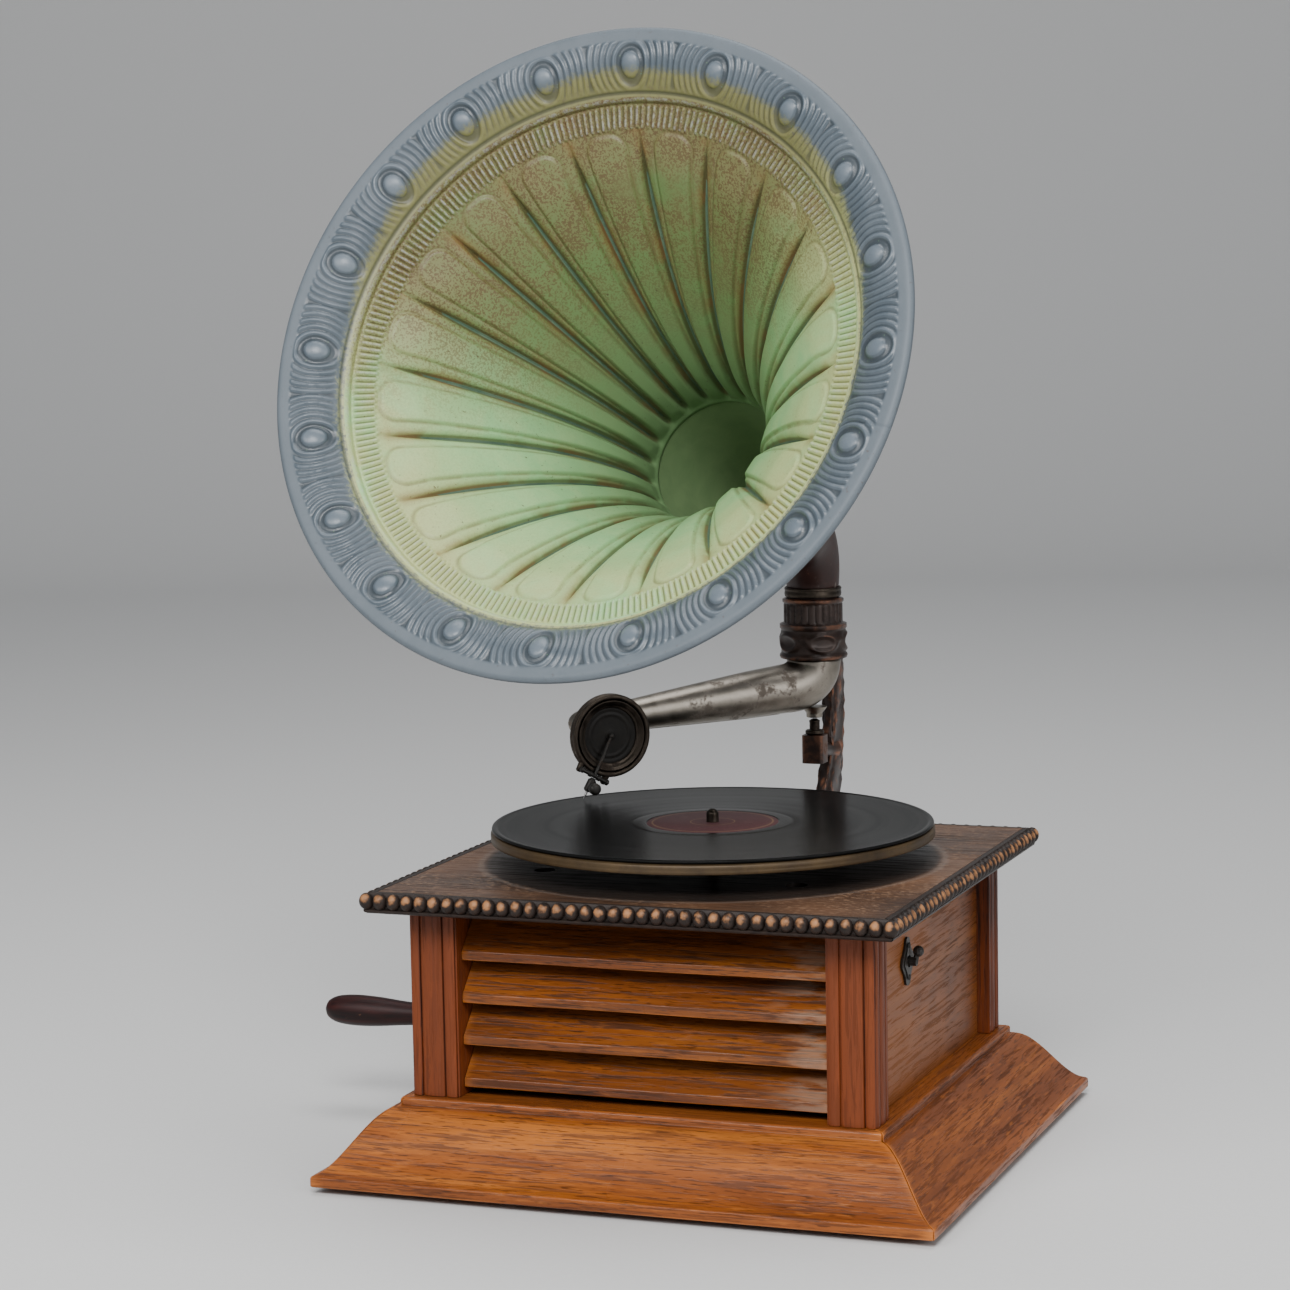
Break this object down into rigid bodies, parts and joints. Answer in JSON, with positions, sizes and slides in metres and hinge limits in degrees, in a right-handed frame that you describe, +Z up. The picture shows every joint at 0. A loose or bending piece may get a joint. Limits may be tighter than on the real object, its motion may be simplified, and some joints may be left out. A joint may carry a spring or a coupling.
{
  "type": "wind up phonograph",
  "caption": "Table-top wind-up phonograph: louvred oak cabinet, spring motor, turntable with disc, tonearm with sound box, and a swivelling embossed flared horn.",
  "frame": {"origin": "middle of the whole object's outer box, on the surface it stands on", "axes": "+Z up, -Y towards the louvred front and the horn's mouth, +X towards the speed lever's side; the crank is on the -X side"},
  "size_m": [0.4267, 0.4402, 0.6268],
  "materials": {
    "black_iron": "black japanned iron",
    "blackened_bead": "carved beading, blackened, worn to copper brown",
    "brass": "aged brass",
    "bronzed_iron": "bronzed casting, worn",
    "dark_oak": "dark stained oak",
    "foot_rubber": "black rubber",
    "handle_stain": "dark maroon stain",
    "horn_brown": "dark brown paint, worn",
    "horn_paint": "green and blue-grey paint on pressed sheet",
    "mica": "dull mica",
    "nickel": "worn nickel plate",
    "oak": "varnished oak",
    "shellac": "black shellac",
    "steel": "bare steel"
  },
  "bodies": {
    "cabinet": {"back_panel": "oak", "bead_strip_front": "blackened_bead", "bead_strip_left": "blackened_bead", "bead_strip_rear": "blackened_bead", "bead_strip_right": "blackened_bead", "bottom_board": "oak", "bracket_screw_lower": "steel", "bracket_screw_upper": "steel", "crank_escutcheon": "black_iron", "foot_front_left": "foot_rubber", "foot_front_right": "foot_rubber", "foot_rear_left": "foot_rubber", "foot_rear_right": "foot_rubber", "horn_bracket": "bronzed_iron", "lever_escutcheon": "black_iron", "louvre_slat_1": "oak", "louvre_slat_2": "oak", "louvre_slat_3": "oak", "louvre_slat_4": "oak", "motor_bolt_left": "steel", "motor_bolt_right": "steel", "motor_bridge": "black_iron", "motor_frame": "black_iron", "pivot_screw": "steel", "plinth_front": "oak", "plinth_left": "oak", "plinth_rear": "oak", "plinth_right": "oak", "post_front_left": "oak", "post_front_right": "oak", "post_rear_left": "oak", "post_rear_right": "oak", "side_panel_left": "oak", "side_panel_right": "oak", "top_board": "dark_oak"},
    "turntable": {"turntable": "brass", "spindle": "steel", "record": "shellac"},
    "tonearm": {"tonearm": "nickel"},
    "sound_box": {"sound_box_body": "nickel", "sound_box_ring": "nickel", "diaphragm": "mica"},
    "stylus": {"stylus_bar": "black_iron", "needle": "steel"},
    "thumb_screw": {"thumb_screw": "black_iron"},
    "horn": {"horn_bell": "horn_paint", "horn_elbow": "horn_brown", "horn_ring": "nickel"},
    "barrel": {"spring_barrel": "brass", "mainspring": "steel"},
    "arbor": {"winding_arbor": "steel"},
    "intermediate": {"intermediate_wheel": "brass"},
    "governor": {"governor_shaft": "steel", "governor_weight_1": "brass", "governor_weight_2": "brass"},
    "governor_disc": {"governor_disc": "brass"},
    "speed_lever": {"speed_lever": "black_iron"},
    "crank": {"crank_shaft": "steel", "crank_arm": "steel"},
    "crank_handle": {"crank_handle": "handle_stain"}
  },
  "joints": [
    {"name": "turntable_spin", "type": "hinge", "parent": "cabinet", "child": "turntable", "pos_m": [0.0374, -0.02278, 0.1856], "axis": [0, 0, 1], "continuous": true},
    {"name": "intermediate_spin", "type": "hinge", "parent": "cabinet", "child": "intermediate", "pos_m": [0.01019, -0.03541, 0.11], "axis": [0, 0, 1], "continuous": true},
    {"name": "barrel_spin", "type": "hinge", "parent": "cabinet", "child": "barrel", "pos_m": [-0.0131, -0.06778, 0.062], "axis": [0, 0, 1], "continuous": true},
    {"name": "governor_spin", "type": "hinge", "parent": "cabinet", "child": "governor", "pos_m": [0.0554, -0.02278, 0.112], "axis": [0, 1, 0], "continuous": true},
    {"name": "governor_disc_slide", "type": "slide", "parent": "governor", "child": "governor_disc", "axis": [0, 1, 0], "range_m": [0, 0.0012], "stiffness_N_per_m": 150},
    {"name": "speed_lever_turn", "type": "hinge", "parent": "cabinet", "child": "speed_lever", "pos_m": [0.1674, -0.06578, 0.121], "axis": [1, 0, 0], "range_deg": [-15, 7]},
    {"name": "crank_turn", "type": "hinge", "parent": "cabinet", "child": "crank", "pos_m": [-0.1256, -0.06778, 0.105], "axis": [1, 0, 0], "continuous": true},
    {"name": "arbor_turn", "type": "hinge", "parent": "cabinet", "child": "arbor", "pos_m": [-0.0131, -0.06778, 0.114], "axis": [0, 0, 1], "continuous": true},
    {"name": "handle_spin", "type": "hinge", "parent": "crank", "child": "crank_handle", "pos_m": [-0.1256, -0.0126, 0.06032], "axis": [1, 0, 0], "continuous": true},
    {"name": "tonearm_swing", "type": "hinge", "parent": "cabinet", "child": "tonearm", "pos_m": [0.0374, 0.16722, 0.2186], "axis": [0, 0, 1], "range_deg": [-25, 22]},
    {"name": "sound_box_turn", "type": "hinge", "parent": "tonearm", "child": "sound_box", "pos_m": [-0.05771, 0.05585, 0.2255], "axis": [0.7071, -0.7071, 0], "range_deg": [-120, 0]},
    {"name": "stylus_rock", "type": "hinge", "parent": "sound_box", "child": "stylus", "pos_m": [-0.05763, 0.03726, 0.19881], "axis": [0.6124, 0.6124, -0.5], "range_deg": [-0.8, 0.8], "stiffness_Nm_per_rad": 0.5},
    {"name": "thumb_screw_turn", "type": "hinge", "parent": "stylus", "child": "thumb_screw", "pos_m": [-0.06022, 0.03467, 0.19249], "axis": [0.7071, -0.7071, 0], "range_deg": [0, 330]},
    {"name": "horn_swivel", "type": "hinge", "parent": "cabinet", "child": "horn", "pos_m": [0.0374, 0.16722, 0.2934], "axis": [0, 0, 1], "range_deg": [-90, 90]}
  ],
  "couplings": [
    {"joint": "intermediate_spin", "follows": "turntable_spin", "ratio": -0.25},
    {"joint": "barrel_spin", "follows": "turntable_spin", "ratio": 0.052083},
    {"joint": "governor_spin", "follows": "turntable_spin", "ratio": 12},
    {"joint": "arbor_turn", "follows": "crank_turn", "ratio": 0.375}
  ]
}
